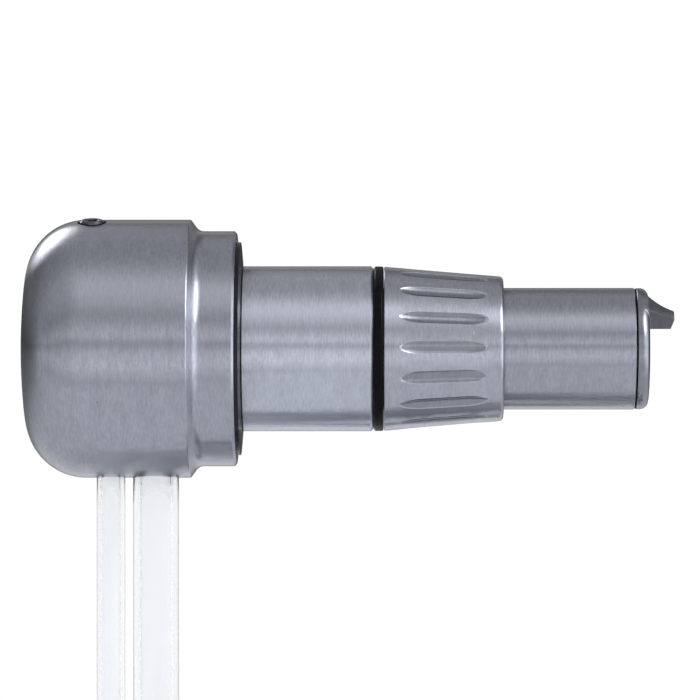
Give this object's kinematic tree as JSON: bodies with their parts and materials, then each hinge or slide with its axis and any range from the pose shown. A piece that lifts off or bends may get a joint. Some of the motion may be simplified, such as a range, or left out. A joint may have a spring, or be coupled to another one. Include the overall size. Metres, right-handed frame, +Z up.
{
  "type": "dental air handpiece",
  "caption": "Straight air-driven dental handpiece: bell head with two hoses, swivelling barrel, fluted twist-lock collar and a nose with a hooked lock ring.",
  "frame": {"origin": "on the handpiece axis at the middle of the head's cylinder, where a holder clip grips it", "axes": "+X along the handpiece towards the nose, +Z up, hoses leave the head along -Z"},
  "size_m": [0.1026, 0.1021, 0.1123],
  "materials": {
    "turned_steel": "fine turned satin, cool grey",
    "nose_steel": "fine ground satin",
    "dark_steel": "polished dark",
    "screw_steel": "blackened",
    "black_rubber": "smooth",
    "clear_hose": "clear flexible tubing",
    "nickel_brass": "nickel plated",
    "porous_bronze": "sintered, matt",
    "alloy": "machined",
    "bearing_steel": "ground and polished",
    "cage_plastic": "moulded",
    "washer_plastic": "low friction",
    "strap": "woven hook and loop",
    "spring_steel": "drawn wire"
  },
  "bodies": {
    "head": {"head_shell": "turned_steel", "hose_manifold": "alloy", "set_screw": "screw_steel", "supply_barb": "nickel_brass", "exhaust_barb": "nickel_brass", "front_thrust_washer": "washer_plastic", "rear_thrust_washer": "washer_plastic", "supply_hose": "clear_hose", "exhaust_hose": "clear_hose", "supply_coil": "clear_hose", "exhaust_coil": "clear_hose", "supply_tail": "clear_hose", "exhaust_tail": "clear_hose", "supply_nut": "nickel_brass", "supply_plug": "nickel_brass", "silencer_barb": "nickel_brass", "silencer_cap": "porous_bronze", "coil_ties": "strap"},
    "barrel": {"swivel_stem": "turned_steel", "stem_circlip": "spring_steel", "stem_o_rings": "black_rubber", "dust_seal": "black_rubber", "barrel": "turned_steel", "barrel_o_ring": "black_rubber", "nozzle_ring": "alloy", "turbine_liner": "alloy", "quill": "alloy", "nose_sleeve": "nose_steel", "collar_circlip": "spring_steel", "preload_washer": "spring_steel", "rear_bearing_outer": "bearing_steel", "front_bearing_outer": "bearing_steel", "bearing_cap": "nose_steel"},
    "lock": {"grip_collar": "turned_steel", "lock_sleeve": "nose_steel", "lock_keys": "bearing_steel", "lock_ring": "dark_steel", "lock_seal": "black_rubber", "lock_spring": "spring_steel"},
    "spindle": {"spindle": "bearing_steel", "drive_pin": "bearing_steel", "turbine_wheel": "alloy", "spindle_spacer": "alloy", "spindle_nut": "nickel_brass", "rear_bearing_inner": "bearing_steel", "front_bearing_inner": "bearing_steel"},
    "rear_cage": {"rear_bearing_balls": "bearing_steel", "rear_bearing_cage": "cage_plastic"},
    "front_cage": {"front_bearing_balls": "bearing_steel", "front_bearing_cage": "cage_plastic"}
  },
  "joints": [
    {"name": "barrel_swivel", "type": "hinge", "parent": "head", "child": "barrel", "pos_m": [0, 0, 0], "axis": [1, 0, 0], "continuous": true},
    {"name": "lock_twist", "type": "hinge", "parent": "barrel", "child": "lock", "pos_m": [0.041, 0, 0], "axis": [1, 0, 0], "range_deg": [0, 45], "stiffness_Nm_per_rad": 0.02, "springref_deg": -20.05, "deforming": ["lock_spring"]},
    {"name": "spindle_spin", "type": "hinge", "parent": "barrel", "child": "spindle", "pos_m": [0.0194, 0, 0], "axis": [1, 0, 0], "continuous": true},
    {"name": "rear_cage_orbit", "type": "hinge", "parent": "barrel", "child": "rear_cage", "pos_m": [0.0194, 0, 0], "axis": [1, 0, 0], "continuous": true},
    {"name": "front_cage_orbit", "type": "hinge", "parent": "barrel", "child": "front_cage", "pos_m": [0.0603, 0, 0], "axis": [1, 0, 0], "continuous": true}
  ],
  "couplings": [
    {"joint": "rear_cage_orbit", "follows": "spindle_spin", "ratio": 0.3785},
    {"joint": "front_cage_orbit", "follows": "spindle_spin", "ratio": 0.3785}
  ]
}
